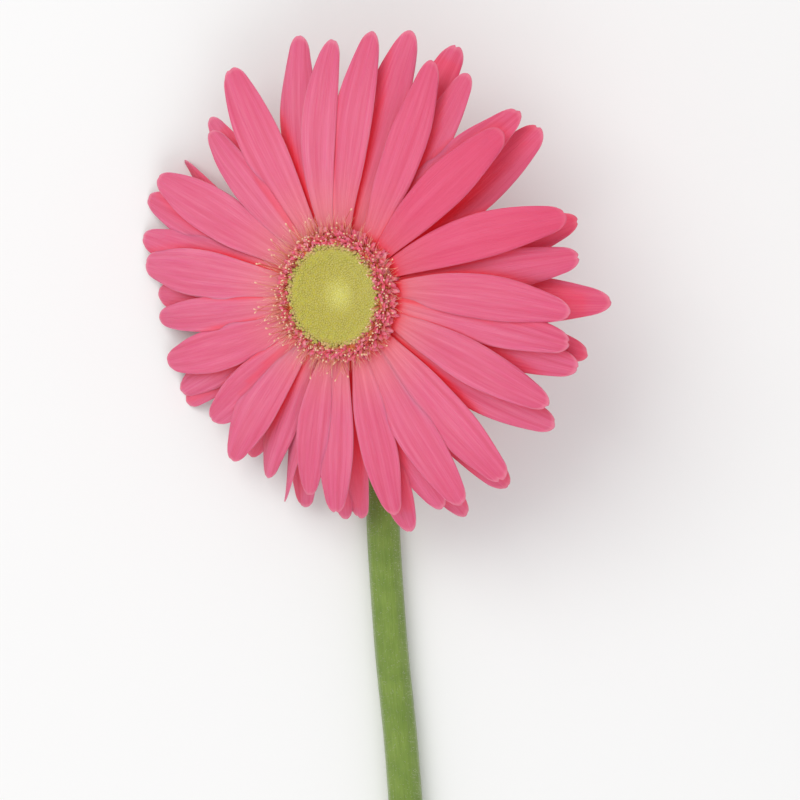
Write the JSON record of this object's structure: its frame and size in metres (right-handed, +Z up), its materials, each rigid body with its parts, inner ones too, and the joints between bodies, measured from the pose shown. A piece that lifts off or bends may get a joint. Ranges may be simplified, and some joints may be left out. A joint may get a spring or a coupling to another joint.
{
  "type": "cut gerbera",
  "caption": "Cut gerbera lying down: a pink daisy-shaped bloom with a dished yellow-green disc, facing up on a curved, leafless green stem; a flower for vases and bouquets.",
  "frame": {"origin": "bottom centre of the whole flower's box, on the surface it lies on", "axes": "+Z up from the surface; +Y along the flower from the stem's cut end to the bloom; +X to the right, seen from above, so the bloom leans towards -X"},
  "size_m": [0.1081, 0.256, 0.0559],
  "materials": {
    "petal": "satin",
    "fringe": "matte",
    "disc": "matte",
    "bract": "matte",
    "stem": "satin"
  },
  "bodies": {
    "root": {"stem": "stem", "involucre": "bract", "ray_florets": "petal", "trans_florets": "fringe", "disc_florets": "disc"}
  },
  "joints": []
}
